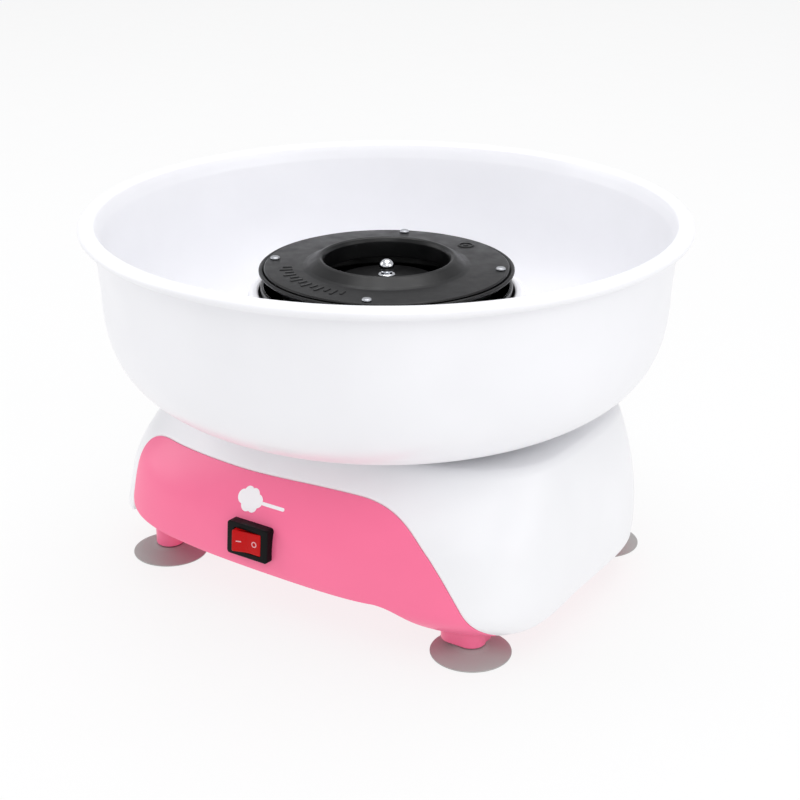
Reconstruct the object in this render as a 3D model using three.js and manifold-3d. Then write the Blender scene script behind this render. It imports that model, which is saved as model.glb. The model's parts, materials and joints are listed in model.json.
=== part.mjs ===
// Tabletop cotton candy machine, millimetres, +Z up.
// The origin is on the motor axis at the surface the machine stands on; the switch panel faces -Y.
import * as THREE from "three";
import { mergeVertices } from "three/addons/utils/BufferGeometryUtils.js";
import Module from "manifold-3d";

const wasm = await Module();
wasm.setup();

// ---- driving dimensions ----
const GAP = 0.3; // clearance kept between pieces that touch
const TAU = Math.PI * 2;
const DEG = Math.PI / 180;

const SKIRT_Z = 13.6; // lowest edge of the housing, at its front right corner
const DECK_Z = 84; // top of the housing, where the bowl sits
const WIDEST_Z = 31; // height at which the housing is widest
const HALF_WIDTH = 119.4;
const HALF_DEPTH = 87.1;
const CENTRE_Y = -8.9; // the housing's middle lies a little in front of the motor axis
const WALL = 2.6;
const PANEL_T = 1.8; // the front panel is thinner, and rests on a lip of the housing

const TRAY_Z = 24; // underside of the bottom tray
const TRAY_T = 2.5;
const FOOT_X = 90;
const FOOT_Y = 65.6;
const LEG_R = 7;
const LEG_Z = 4.9; // lower end of the legs
const CUP_R = 18.8;

const SEAT_HOLE_R = 63.5; // hole in the deck for the bayonet ring
const RIM_R = 145;
const RIM_TOP_Z = 179.2;
const LIP_HALF = 2.9; // half the height of the rolled lip
const BOWL_FLOOR_Z = DECK_Z + 0.4;
const COLLAR_TOP_Z = 140.2; // the collar's top turns in towards the heater pan

const PAN_R = 61;
const PAN_FLOOR_Z = 104;
const PAN_TOP_Z = 143;
const ELEMENT_R = 44;
const ELEMENT_Z = 122;

const SHAFT_R = 3;
const SHAFT_TOP_Z = 137.5;
const PIN_Z = 130.2;
const DISC_R = 61.65;
const DISC_LIP_Z = 151.1; // top of the spinning dish's lip
const DISC_SHELF_Z = 149; // the flat of the dish under the plate
const HUB_TOP_Z = 143.9;
const PLATE_R = 59.2;
const PLATE_Z = 152; // flat top of the spinning plate
const MOUTH_R = 30.4; // sugar opening
const RIVET_R = 55.1; // radius of the rivet circle
const RIVET_ANGLE = 24.5;

const MOTOR_R = 24;
const BRACKET_Z = 74.4;
const POST_R = 40; // radius of the circle of pan standoffs
const BOSS_R = 50; // radius of the circle of bracket screws
const TRAY_BOSS = [76, 48]; // where the tray screws go

const SWITCH = { x: -11.2, y: -100, z: 41.7, lean: -5 };
const ROCKER_THROW = 10; // the rocker tips this far to each side

// ---- solids and geometry ----
function toSolid(geometry) {
  const bare = new THREE.BufferGeometry();
  bare.setAttribute("position", geometry.getAttribute("position"));
  bare.setIndex(geometry.index);
  const merged = mergeVertices(bare, 1e-3);
  const index = merged.index.array;
  const kept = [];
  for (let i = 0; i < index.length; i += 3) {
    const [a, b, c] = [index[i], index[i + 1], index[i + 2]];
    if (a !== b && b !== c && c !== a) kept.push(a, b, c);
  }
  const make = (triVerts) =>
    new wasm.Manifold(
      new wasm.Mesh({ numProp: 3, vertProperties: merged.attributes.position.array, triVerts }),
    );
  const made = make(new Uint32Array(kept));
  return made.volume() > 0 ? made : make(new Uint32Array(kept.reverse()));
}

function toGeometry(solid) {
  const mesh = solid.getMesh();
  const geometry = new THREE.BufferGeometry();
  geometry.setAttribute("position", new THREE.BufferAttribute(mesh.vertProperties, 3));
  geometry.setIndex(new THREE.BufferAttribute(mesh.triVerts, 1));
  geometry.computeVertexNormals();
  return geometry;
}

// A solid of revolution about Z from [radius, z] points; a profile off the axis closes on itself.
function lathe(points, segments = 16) {
  const profile = points.map(([r, z]) => new THREE.Vector2(r, z));
  const onAxis = points[0][0] === 0 && points[points.length - 1][0] === 0;
  if (!onAxis) profile.push(profile[0].clone());
  const geometry = new THREE.LatheGeometry(profile, segments);
  return toSolid(geometry.rotateX(Math.PI / 2));
}

const cylinder = (r, z0, z1, segments = 16) => lathe([[0, z0], [r, z0], [r, z1], [0, z1]], segments);

const ring = (r0, r1, z0, z1, segments = 16) => lathe([[r0, z0], [r1, z0], [r1, z1], [r0, z1]], segments);

function box(width, depth, height, x = 0, y = 0, z = 0) {
  return toSolid(new THREE.BoxGeometry(width, depth, height).translate(x, y, z));
}

// A shape drawn in X and Z, pushed along Y from y0 to y1.
function prismY(shape, y0, y1, curveSegments = 4) {
  const geometry = new THREE.ExtrudeGeometry(shape, { depth: y1 - y0, bevelEnabled: false, curveSegments });
  return toSolid(geometry.rotateX(Math.PI / 2).translate(0, y1, 0));
}

// A shape drawn in X and Y, pushed along Z from z0 to z1.
function prismZ(shape, z0, z1, curveSegments = 6) {
  const geometry = new THREE.ExtrudeGeometry(shape, { depth: z1 - z0, bevelEnabled: false, curveSegments });
  return toSolid(geometry.translate(0, 0, z0));
}

const union = (solids) => solids.reduce((whole, solid) => whole.add(solid));
const shift = (solid, x, y, z) => solid.translate([x, y, z]);
const turn = (solid, degrees) => solid.rotate([0, 0, degrees]);
const polar = (r, degrees) => [r * Math.cos(degrees * DEG), r * Math.sin(degrees * DEG)];

function polygon(points) {
  return new THREE.Shape(points.map(([u, v]) => new THREE.Vector2(u, v)));
}

// A ring sector about Z, from r0 to r1, centred on a direction.
function sector(r0, r1, z0, z1, centre, width) {
  const shape = new THREE.Shape();
  const [a, b] = [(centre - width / 2) * DEG, (centre + width / 2) * DEG];
  shape.absarc(0, 0, r1, a, b, false);
  shape.absarc(0, 0, r0, b, a, true);
  return prismZ(shape, z0, z1, 6);
}

// ---- housing shape ----
// Each level is a rounded rectangle; the front face leans back towards the deck and the back stands
// upright, and below its widest height the body tucks in. The front corners are fuller half-way up.
function housingLevel(z, inset) {
  const low = Math.max(0, (WIDEST_Z - z) / (WIDEST_Z - SKIRT_Z));
  const high = Math.max(0, (z - WIDEST_Z) / (DECK_Z - WIDEST_Z));
  const rise = (z - SKIRT_Z) / (DECK_Z - SKIRT_Z);
  return {
    a: HALF_WIDTH - inset - 1 * low ** 2.4 - 11.7 * high ** 2.06,
    front: HALF_DEPTH - inset - 16 * low ** 2.4 - 28.5 * high ** 2.26,
    back: HALF_DEPTH - inset - 4 * low ** 2.4 - 1.5 * high ** 2.26,
    frontPower: 4.35 - 2.2 * rise + 0.45 * rise ** 2 + 0.3 * Math.exp(-(((z - 57) / 12) ** 2)),
    backPower: 4.35,
  };
}

function levelPoint(level, t) {
  const [c, s] = [Math.cos(t), Math.sin(t)];
  const power = 2 / (s < 0 ? level.frontPower : level.backPower);
  const depth = s < 0 ? level.front : level.back;
  const x = level.a * Math.sign(c) * Math.abs(c) ** power;
  const y = CENTRE_Y + depth * Math.sign(s) * Math.abs(s) ** power;
  return [x, y];
}

function loft(heights, inset, count = 32) {
  const positions = [];
  const index = [];
  for (const z of heights) {
    const level = housingLevel(Math.min(z, DECK_Z), inset);
    for (let i = 0; i < count; i++) {
      const [x, y] = levelPoint(level, (i / count) * TAU);
      positions.push(x, y, z);
    }
  }
  const top = (heights.length - 1) * count;
  for (let k = 0; k < top; k += count) {
    for (let i = 0; i < count; i++) {
      const j = (i + 1) % count;
      index.push(k + i, k + j, k + count + j, k + i, k + count + j, k + count + i);
    }
  }
  for (let i = 1; i < count - 1; i++) {
    index.push(0, i + 1, i);
    index.push(top, top + i, top + i + 1);
  }
  const geometry = new THREE.BufferGeometry();
  geometry.setAttribute("position", new THREE.Float32BufferAttribute(positions, 3));
  geometry.setIndex(index);
  return toSolid(geometry);
}

const OUTER_HEIGHTS = [SKIRT_Z, 19, 24, 30, 41, 51, 60, 68, 74, 79.5, 84];
const INNER_HEIGHTS = [SKIRT_Z - 1, 19, 24, 30, 41, 51, 60, 68, 74, 81.4];

// Outline of the front panel seen from the front: a straight left side, and on the right a long
// S that runs from the top edge down into the foot. The grow value moves the outline outwards,
// and the drop value lowers its bottom edge.
function panelOutline(grow, drop = 0) {
  const g = grow;
  const low = -g - drop;
  const shape = new THREE.Shape();
  shape.moveTo(-86, 29.4 + low);
  shape.bezierCurveTo(-74, 27.2 + low, -60, 27.4 + low, -50, 26.8 + low);
  shape.bezierCurveTo(-30, 25.6 + low, 30, 23.6 + low, 56, 27.2 + low);
  shape.bezierCurveTo(67, 27.4 + low, 71, 21.8 + low, 80, 18.3 + low);
  shape.quadraticCurveTo(93, 13 + low, 106 + g, 12.6 + low);
  shape.bezierCurveTo(98 + g, 25, 91.5 + g, 41 + g * 0.4, 79.7 + g, 53.2 + g * 0.6);
  shape.bezierCurveTo(70.5 + g * 0.7, 61.5 + g, 60 + g * 0.5, 71.2 + g, 38, 71.2 + g);
  shape.bezierCurveTo(16, 71.4 + g, -6, 69.2 + g, -28, 69.2 + g);
  shape.bezierCurveTo(-48, 69.2 + g, -62, 69.2 + g, -78, 68.6 + g);
  shape.bezierCurveTo(-89 - g * 0.7, 68 + g * 0.7, -97.3 - g, 64, -97.2 - g, 55);
  shape.lineTo(-96.8 - g, 37);
  shape.quadraticCurveTo(-96.6 - g, 31.2 + low, -86, 29.4 + low);
  return shape;
}

const PANEL_BACK_Y = -58; // the panel lies wholly in front of this plane

// The leg's solid: a round post with a wedge behind it that runs up into the tray. The leg under
// the panel's foot is longer, towards the middle of the machine.
function legShape(sx, sy, extra) {
  const r = LEG_R + extra;
  const post = cylinder(r, LEG_Z, TRAY_Z + 1, 12);
  const wedgeOutline = polygon([[0, LEG_Z], [r, LEG_Z], [24 + extra, 19], [24 + extra, TRAY_Z + 1], [0, TRAY_Z + 1]]);
  const wedge = prismY(wedgeOutline, -r * 0.92, r * 0.92).rotate([0, 0, sy < 0 ? 90 : -90]);
  let leg = post.add(wedge);
  if (sx > 0 && sy < 0) {
    const height = TRAY_Z + 1 - LEG_Z;
    leg = leg.add(shift(post, -8, 0, 0)).add(box(8, 2 * r, height, -4, 0, LEG_Z + height / 2));
  }
  return shift(leg, sx * FOOT_X, sy * FOOT_Y, 0);
}

const LEGS = [[-1, -1, "front_left"], [1, -1, "front_right"], [1, 1, "rear_right"], [-1, 1, "rear_left"]];
const legClearance = () => union(LEGS.map(([sx, sy]) => legShape(sx, sy, GAP)));

// ---- base pieces ----
function deckFeatures() {
  const seat = lathe([[50, 81.4], [70, 81.4], [70, 79], [74, 79], [79, 82], [79, DECK_Z], [50, DECK_Z]], 32);
  const posts = [];
  for (const sx of [-1, 1]) {
    for (const sy of [-1, 1]) {
      const post = ring(1.5, 4.2, TRAY_Z + TRAY_T + GAP, 82, 10);
      posts.push(shift(post, sx * TRAY_BOSS[0], sy * TRAY_BOSS[1], 0));
    }
  }
  return seat.add(union(posts));
}

function vents(count, pitch, width, length, z) {
  const slots = [];
  for (let i = 0; i < count; i++) {
    slots.push(box(width, 30, length, (i - (count - 1) / 2) * pitch, HALF_DEPTH + CENTRE_Y, z));
  }
  return union(slots);
}

// The space under one side's lower edge, from its outline in Y and Z.
function sideRise(side, outline) {
  const geometry = new THREE.ExtrudeGeometry(polygon(outline), { depth: 140, bevelEnabled: false });
  return toSolid(geometry).rotate([90, 0, 90]).translate([side < 0 ? -140 : 0, 0, 0]);
}

function upperHousing() {
  const shell = loft(OUTER_HEIGHTS, 0).subtract(loft(INNER_HEIGHTS, WALL));
  const front = (outline) => prismY(outline, -110, PANEL_BACK_Y);
  const edge = front(panelOutline(2.5)).subtract(front(panelOutline(-3.5)));
  const lip = loft(INNER_HEIGHTS, PANEL_T + GAP).subtract(loft(INNER_HEIGHTS, WALL + 1.8)).intersect(edge);
  const aboveTray = box(300, 300, 60, 0, 0, TRAY_Z + TRAY_T + GAP + 30);
  const gland = cylinder(5.3, -20, 20, 14).rotate([90, 0, 0]).translate([-48, HALF_DEPTH + CENTRE_Y, 36]);
  return shell
    .add(deckFeatures())
    .subtract(front(panelOutline(0)))
    .subtract(front(panelOutline(0, 20)))
    .subtract(sideRise(-1, [[-120, 0], [-120, 30], [-74, 27.5], [-40, 18], [100, 17.5], [100, 0]]))
    .subtract(sideRise(1, [[-58, 0], [-58, SKIRT_Z], [-20, 17.5], [100, 17.5], [100, 0]]))
    .add(lip.intersect(aboveTray))
    .subtract(cylinder(SEAT_HOLE_R, 70, 90, 32))
    .subtract(vents(6, 9, 3, 16, 62))
    .subtract(gland)
    .subtract(legClearance());
}

function frontPanel() {
  const front = prismY(panelOutline(-GAP), -110, PANEL_BACK_Y);
  const cutout = box(21.2, 30, 15.2).rotate([SWITCH.lean, 0, 0]).translate([SWITCH.x, SWITCH.y, SWITCH.z]);
  return loft(OUTER_HEIGHTS, 0)
    .subtract(loft(INNER_HEIGHTS, PANEL_T))
    .intersect(front)
    .subtract(cutout)
    .subtract(legClearance());
}

// The tray fits inside the walls, and stands a little further back behind the front panel.
function trayPlate() {
  const level = housingLevel(TRAY_Z, WALL + GAP + 0.6);
  level.front -= 4.5;
  const points = Array.from({ length: 32 }, (_, i) => levelPoint(level, (i / 32) * TAU));
  return prismZ(polygon(points), TRAY_Z, TRAY_Z + TRAY_T);
}

function bottomTray() {
  let tray = trayPlate();
  for (const [sx, sy] of LEGS) {
    const at = (solid) => shift(solid, sx * FOOT_X, sy * FOOT_Y, 0);
    tray = tray
      .add(legShape(sx, sy, 0))
      .subtract(at(cylinder(5.4, 8.7, 40, 8)))
      .subtract(at(cylinder(3.9, 0, 20, 8)))
      .subtract(shift(cylinder(1.6, 0, 40, 8), sx * TRAY_BOSS[0], sy * TRAY_BOSS[1], 0));
  }
  for (const sx of [-1, 1]) {
    for (let i = 0; i < 6; i++) {
      tray = tray.subtract(box(30, 3, 20, sx * 38, (i - 2.5) * 7, TRAY_Z));
    }
  }
  for (const [x, y] of BOARD_HOLES) {
    tray = tray.add(shift(ring(1.1, 2.8, TRAY_Z + TRAY_T - 0.5, 31, 8), x, y, 0));
  }
  return tray;
}

function suctionCup() {
  return lathe(
    [
      [0, 1.9], [11, 1.4], [17, 0], [CUP_R, 0], [CUP_R, 0.6], [14, 2], [9, 3.4],
      [7, 4.5], [3.5, 4.5], [3.5, 9.1], [4.9, 9.4], [3.6, 12.2], [0, 13.2],
    ],
    16,
  );
}

// A pan-head screw that points up, its head resting under a face at height z.
function screw(z, length, headR = 3.2, shankR = 1.2) {
  const head = [[0, z - 2.2], [headR * 0.8, z - 2], [headR, z - 1.3], [headR, z - GAP], [shankR, z - GAP]];
  return lathe([...head, [shankR, z + length], [0, z + length]], 10);
}

// Bayonet ring in the deck: its three hooks hold the bowl's lugs down, and three tabs under it carry
// the motor bracket.
function lockRing() {
  const outer = SEAT_HOLE_R - GAP;
  const body = lathe(
    [[60.6, 79], [67, 79], [67, 81.1], [outer, 81.1], [outer, 91.6], [60.6, 91.6]], 32,
  );
  const hooks = [135, 255, 15].map((angle) =>
    union([
      sector(62.4, 67.4, 89, 91.4, angle, 30),
      sector(62.4, 67.4, 85, 91.4, angle + 12.5, 5),
    ]),
  );
  const tabs = [90, 210, 330].map((angle) => {
    const tab = box(17, 10, 5.7, 53.5, 0, 79.15).subtract(shift(cylinder(1.5, 70, 90, 8), BOSS_R, 0, 0));
    return turn(tab, angle);
  });
  return union([body, ...hooks, ...tabs]);
}

// ---- bowl ----
function bowlProfile() {
  const bend = (points, steps) => {
    const [a, b, c, d] = points.map(([r, z]) => new THREE.Vector2(r, z));
    return new THREE.CubicBezierCurve(a, b, c, d).getPoints(steps).map((v) => [v.x, v.y]);
  };
  const lip = Array.from({ length: 7 }, (_, i) => {
    const t = (-90 + 45 * i) * DEG;
    const [centre, half] = i < 4 ? [140.8, RIM_R - 140.8] : [139.8, 3.3];
    return [centre + half * Math.cos(t), RIM_TOP_Z + LIP_HALF * (Math.sin(t) - 1)];
  });
  const outside = bend([[80, BOWL_FLOOR_Z], [117, 97], [136.5, 104], [136, 148]], 8);
  const inside = bend([[133, 148], [133.3, 107.5], [115, 100.2], [78, 87.8]], 7);
  return [
    [68.2, BOWL_FLOOR_Z], ...outside, [138.2, 172.4], ...lip.slice(0, 6), [136.2, 175.4], [135, 171],
    ...inside, [73, 88], [71, 89], [70.4, 91], [67.5, 136.4], [66.6, 138.9], [64.9, 140],
    [63, COLLAR_TOP_Z], [62.2, 139.7], [62.2, 138.6], [63.4, 138], [65, 136.4], [65.4, 134], [68.2, 94],
  ];
}

function bowl() {
  const lugs = [90, 210, 330].map((angle) => sector(64.3, 69, BOWL_FLOOR_Z, 87.9, angle, 30));
  return lathe(bowlProfile(), 32)
    .add(union(lugs))
    .subtract(ring(71.6, 77, 80, 86.2, 32));
}

const bowlGasket = () => lathe([[72, 84.3], [76.6, 84.3], [76.2, 85.9], [72.4, 85.9]], 32);

// ---- heater ----
function heaterPan() {
  const inner = PAN_R - 1.6;
  let pan = lathe(
    [
      [9, PAN_FLOOR_Z], [inner, PAN_FLOOR_Z], [inner, 96], [PAN_R, 96], [PAN_R, PAN_TOP_Z],
      [inner, PAN_TOP_Z], [inner, PAN_FLOOR_Z + 1.5], [9, PAN_FLOOR_Z + 1.5],
    ],
    28,
  );
  for (const angle of [90, 210, 330]) {
    pan = pan.subtract(shift(cylinder(1.9, 100, 110, 8), ...polar(POST_R, angle), 0));
  }
  for (const side of [-1, 1]) {
    pan = pan.subtract(shift(cylinder(4.3, 100, 110, 12), ...polar(ELEMENT_R, 270 + side * 8), 0));
  }
  return pan;
}

const ELEMENT_TUBE_R = 3.1;

function heaterElement() {
  const gap = 8;
  const curve = new THREE.CatmullRomCurve3(
    Array.from({ length: 23 }, (_, i) => {
      const [x, y] = polar(ELEMENT_R, 270 + gap + ((360 - 2 * gap) * i) / 22);
      return new THREE.Vector3(x, y, ELEMENT_Z);
    }),
  );
  const section = new THREE.Shape().absarc(0, 0, ELEMENT_TUBE_R, 0, TAU, false);
  const tube = toSolid(
    new THREE.ExtrudeGeometry(section, { steps: 22, curveSegments: 4, bevelEnabled: false, extrudePath: curve }),
  );
  const ends = [-1, 1].map((side) => {
    const leg = cylinder(1.8, 94, ELEMENT_Z, 8).add(cylinder(ELEMENT_TUBE_R, 108.6, ELEMENT_Z + 2, 8));
    return shift(leg, ...polar(ELEMENT_R, 270 + side * gap), 0);
  });
  return union([tube, ...ends]);
}

const elementSupport = () =>
  lathe([[0, 105.8], [4.5, 105.8], [4.5, 107.5], [3.4, 108.5], [3.4, 118.5], [0, 118.5]], 10);

const terminalBush = () =>
  lathe([[2.1, 100], [4, 100], [4, 105.8], [5.6, 105.8], [5.6, 107.6], [2.1, 107.6]], 10);

function thermalCutout() {
  const can = lathe([[0, 97], [7.6, 97], [7.6, 102.4], [9, 102.4], [9, 103.7], [0, 103.7]], 14);
  const tab = (side) => box(4, 0.8, 7, side * 4, 0, 94);
  return union([can, tab(-1), tab(1)]);
}

const panStandoff = () =>
  lathe([[0, 76.3], [3, 76.3], [3, 103.7], [1.5, 103.7], [1.5, 109], [0, 109]], 8);

// ---- motor ----
function motorBracket() {
  const top = BRACKET_Z + 1.6;
  let plate = ring(10, 33, BRACKET_Z, top, 18);
  for (const angle of [90, 210, 330]) {
    const arm = box(30, 13, 1.6, 41, 0, BRACKET_Z + 0.8).rotate([0, 0, angle]);
    plate = plate.add(arm).subtract(shift(cylinder(1.6, 70, 80, 8), ...polar(BOSS_R, angle), 0));
  }
  for (const x of [-14, 14]) plate = plate.subtract(shift(cylinder(1.5, 70, 80, 8), x, 0, 0));
  return plate;
}

function motorCan() {
  const shell = lathe(
    [[5.3, 72.8], [22.8, 72.8], [22.8, 34], [MOTOR_R, 34], [MOTOR_R, BRACKET_Z - GAP], [5.3, BRACKET_Z - GAP]], 20,
  );
  return [-14, 14].reduce((can, x) => can.subtract(shift(cylinder(1.5, 60, 80, 8), x, 0, 0)), shell);
}

const motorEndCap = () =>
  lathe([[5.3, 30.5], [MOTOR_R, 30.5], [MOTOR_R, 33.7], [5.3, 33.7]], 20);

const bearing = (z) => ring(SHAFT_R + GAP, 5, z, z + 4.6, 12);
const magnet = (angle) => sector(19, 22.4, 41, 66, angle, 120);

function armature() {
  let core = ring(SHAFT_R + GAP, 17.5, 43, 61, 21);
  for (let i = 0; i < 7; i++) {
    const slot = box(9, 2.4, 30, 14, 0, 52);
    core = core.subtract(turn(slot, (i * 360) / 7));
  }
  return core;
}

const winding = (z) =>
  lathe([[6, z], [13, z], [15.4, z + 1.5], [15.4, z + 3.2], [12, z + 4.6], [6, z + 4.6]], 12);

const commutator = () => ring(SHAFT_R + GAP, 7, 34.2, 37.8, 14);
const brush = (side) => box(5, 4, 2.8, side * 10, 0, 36);

function coolingFan() {
  const hub = ring(SHAFT_R + GAP, 7, 80, 87, 14);
  const disc = ring(6, 22, 80, 81.2, 16);
  const blade = shift(box(15.5, 1.3, 6).rotate([18, 0, 0]), 14, 0, 83.6);
  const blades = Array.from({ length: 8 }, (_, i) => turn(blade, i * 45));
  return union([hub, disc, ...blades]).subtract(cylinder(SHAFT_R + GAP, 70, 100, 14));
}

function motorShaft() {
  const cross = cylinder(1 + GAP, -10, 10, 8).rotate([0, 90, 0]).translate([0, 0, PIN_Z]);
  return lathe([[0, 29], [2.6, 29], [SHAFT_R, 29.5], [SHAFT_R, SHAFT_TOP_Z - 1], [2.4, SHAFT_TOP_Z], [0, SHAFT_TOP_Z]], 14)
    .subtract(cross);
}

const drivePin = () => cylinder(1, -7.5, 7.5, 8).rotate([0, 90, 0]).translate([0, 0, PIN_Z]);

function motorScrew() {
  return lathe([[0, 70], [1.2, 70], [1.2, 76.3], [2.5, 76.3], [2.5, 77.8], [0, 78.2]], 10);
}

// ---- spinning head ----
const rivetPlaces = [0, 1, 2, 3].map((i) => polar(RIVET_R, RIVET_ANGLE + 90 * i));
const drillRivets = (solid) =>
  rivetPlaces.reduce((left, [x, y]) => left.subtract(shift(cylinder(1.5, 120, 170, 8), x, y, 0)), solid);

function spinnerDish() {
  const bore = SHAFT_R + 0.35;
  const profile = [
    [bore, 128], [9, 128], [9, 142.2], [23.4, 142.2], [24.2, 133], [46, 133], [50.5, 136.5],
    [52.6, 147.3], [58.6, 147.3], [60.7, 149.2], [DISC_R, 150], [DISC_R, 150.7],
    [DISC_R - 0.6, DISC_LIP_Z], [60.3, DISC_LIP_Z], [57.6, DISC_SHELF_Z], [51.2, DISC_SHELF_Z],
    [48.8, 137.4], [45.2, 134.7], [27.5, 134.7], [26, 136], [25.5, HUB_TOP_Z - 0.7],
    [24.6, HUB_TOP_Z], [bore, HUB_TOP_Z],
  ];
  const slot = box(24, 2.9, 4, 0, 0, 129.8);
  return drillRivets(lathe(profile, 28)).subtract(slot);
}

function topPlate() {
  const profile = [
    [39.9, 150.4], [PLATE_R - 0.8, 150.4], [PLATE_R, 151], [PLATE_R, 151.4], [PLATE_R - 0.7, PLATE_Z],
    [40.5, PLATE_Z], [38.4, 152.8], [33.8, 155.8], [32.4, 156.3], [31.2, 155.8], [MOUTH_R, 154.2],
    [MOUTH_R, 146.2], [31.8, 146.2], [31.8, 153.6], [33, 154.2], [37.9, 151.2],
  ];
  return drillRivets(lathe(profile, 28));
}

const headRivet = () =>
  lathe(
    [
      [0, 146], [1.8, 146], [1.8, 147], [1.2, 147], [1.2, 149.3], [2.3, 149.3], [2.3, 150.1], [1.2, 150.1],
      [1.2, PLATE_Z + GAP], [2.4, PLATE_Z + GAP], [2.1, 153], [0, 153.5],
    ],
    8,
  );

function headKnob() {
  const ball = Array.from({ length: 7 }, (_, i) => {
    const t = (-50 + (140 / 6) * i) * DEG;
    return i === 6 ? [0, 154.6] : [3.7 * Math.cos(t), 150.9 + 3.7 * Math.sin(t)];
  });
  const stem = [[0, 138], [2.6, 138], [2.6, 146.6], [4.3, 146.6], [4.3, 147.3], [3.7, 147.8]];
  return lathe([...stem, ...ball], 12);
}

// ---- switch, drawn around its own centre with the bezel facing -Y ----
const BEZEL = { width: 23.6, height: 16.4, depth: 3.8 };
const POCKET = { halfX: 7.8, halfZ: 5.7, depth: 9 };
const ROCKER_R = 7.5;
const PIVOT_Y = 2; // behind the bezel's face

function switchHousing() {
  const bezel = box(BEZEL.width, BEZEL.depth, BEZEL.height, 0, BEZEL.depth / 2, 0);
  const bodyBlock = box(20.6, 16, 14.6, 0, 9, 0);
  const pocket = box(POCKET.halfX * 2, POCKET.depth * 2, POCKET.halfZ * 2);
  return bezel.add(bodyBlock).subtract(pocket);
}

function rocker() {
  const outline = polygon([[-9, -3.9], [0, -2.4], [9, -3.9], [9, 0], [6, 4], [-6, 4], [-9, 0]]);
  const blank = prismZ(outline, -5.4, 5.4);
  return blank.intersect(cylinder(ROCKER_R, -7, 7, 40));
}

const switchTerminal = () => box(0.8, 7, 4.8, 0, 20.8, 0);

function cordGland() {
  const tube = lathe(
    [[3.2, -3], [5, -3], [5, 3.4], [6.4, 3.9], [6.4, 4.9], [5, 6.5], [3.2, 6.5]], 14,
  );
  return tube.rotate([-90, 0, 0]);
}

const BOARD_HOLES = [[-72, 22], [-72, -6]];

function rectifierBoard() {
  const board = box(26, 36, 1.6, -62, 8, 32.1);
  const holes = BOARD_HOLES.map(([x, y]) => shift(cylinder(1.2, 20, 40, 8), x, y, 0));
  const bridge = box(15, 4, 12, -60, -2, 38.4);
  const capacitor = shift(cylinder(5, 32.5, 46, 14), -58, 14, 0);
  return union([board, bridge, capacitor]).subtract(union(holes));
}

// ---- materials ----
const material = (color, roughness, metalness = 0) => new THREE.MeshStandardMaterial({ color, roughness, metalness });
const WHITE = material(0xf4f4f6, 0.3);
const PINK = material(0xfb7aa0, 0.35);
const RUBBER = material(0xa09a9a, 0.55);
const BLACK = material(0x1b1b1d, 0.3);
const STEEL = material(0xb9bcc0, 0.3, 1);
const CHROME = material(0xd8dadd, 0.1, 1);
const RED = material(0xc62325, 0.25);
const BRASS = material(0xc9a24a, 0.35, 1);
const COPPER = material(0xa8612f, 0.4, 1);
const CERAMIC = material(0xe9e4d8, 0.6);
const MAGNET = material(0x3a3a3e, 0.7);
const BOARD = material(0x2f6b45, 0.6);

// ---- assembly ----
const machine = new THREE.Group();

function place(name, solid, finish, x = 0, y = 0, z = 0, parent = machine) {
  const mesh = new THREE.Mesh(toGeometry(solid), finish);
  mesh.name = name;
  mesh.position.set(x, y, z);
  parent.add(mesh);
  return mesh;
}

function addBase() {
  place("upper_housing", upperHousing(), WHITE);
  place("front_panel", frontPanel(), PINK);
  place("bottom_tray", bottomTray(), PINK);
  for (const [sx, sy, name] of LEGS) {
    place("suction_cup_" + name, suctionCup(), RUBBER, sx * FOOT_X, sy * FOOT_Y);
    place("tray_screw_" + name, screw(TRAY_Z, 12), STEEL, sx * TRAY_BOSS[0], sy * TRAY_BOSS[1]);
  }
  place("bowl_lock_ring", lockRing(), WHITE);
  place("cord_gland", cordGland(), BLACK, -48, HALF_DEPTH + CENTRE_Y - 3.1, 36);
  place("rectifier_board", rectifierBoard(), BOARD);
}

function addSwitch() {
  const group = new THREE.Group();
  group.position.set(SWITCH.x, SWITCH.y, SWITCH.z);
  group.rotation.x = SWITCH.lean * DEG;
  machine.add(group);
  place("switch_housing", switchHousing(), BLACK, 0, 0, 0, group);
  const tip = place("switch_rocker", rocker(), RED, 0, PIVOT_Y, 0, group);
  tip.rotation.z = ROCKER_THROW * DEG;
  place("switch_terminal_left", switchTerminal(), BRASS, -5, 0, 0, group);
  place("switch_terminal_right", switchTerminal(), BRASS, 5, 0, 0, group);
}

function addHeater() {
  place("heater_pan", heaterPan(), BLACK);
  place("heater_element", heaterElement(), STEEL);
  place("thermal_cutout", thermalCutout(), STEEL, 26, 0);
  [30, 150, 225].forEach((angle, i) => {
    place("element_support_" + (i + 1), elementSupport(), CERAMIC, ...polar(ELEMENT_R, angle));
  });
  [90, 210, 330].forEach((angle, i) => {
    place("pan_standoff_" + (i + 1), panStandoff(), STEEL, ...polar(POST_R, angle));
    place("bracket_screw_" + (i + 1), screw(BRACKET_Z, 5, 2.8), STEEL, ...polar(BOSS_R, angle));
  });
  [-1, 1].forEach((side, i) => {
    place("terminal_bush_" + (i + 1), terminalBush(), CERAMIC, ...polar(ELEMENT_R, 270 + side * 8));
  });
}

function addMotor() {
  place("motor_bracket", motorBracket(), STEEL);
  place("motor_can", motorCan(), STEEL);
  place("motor_end_cap", motorEndCap(), BLACK);
  place("upper_bearing", bearing(71), BRASS);
  place("lower_bearing", bearing(29.6), BRASS);
  place("magnet_left", magnet(180), MAGNET);
  place("magnet_right", magnet(0), MAGNET);
  place("brush_left", brush(-1), MAGNET);
  place("brush_right", brush(1), MAGNET);
  place("motor_screw_left", motorScrew(), STEEL, -14);
  place("motor_screw_right", motorScrew(), STEEL, 14);
  place("motor_shaft", motorShaft(), STEEL);
  place("armature", armature(), STEEL);
  place("upper_winding", winding(61.3), COPPER);
  place("lower_winding", winding(38.1), COPPER);
  place("commutator", commutator(), COPPER);
  place("cooling_fan", coolingFan(), BLACK);
  place("drive_pin", drivePin(), STEEL);
}

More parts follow.
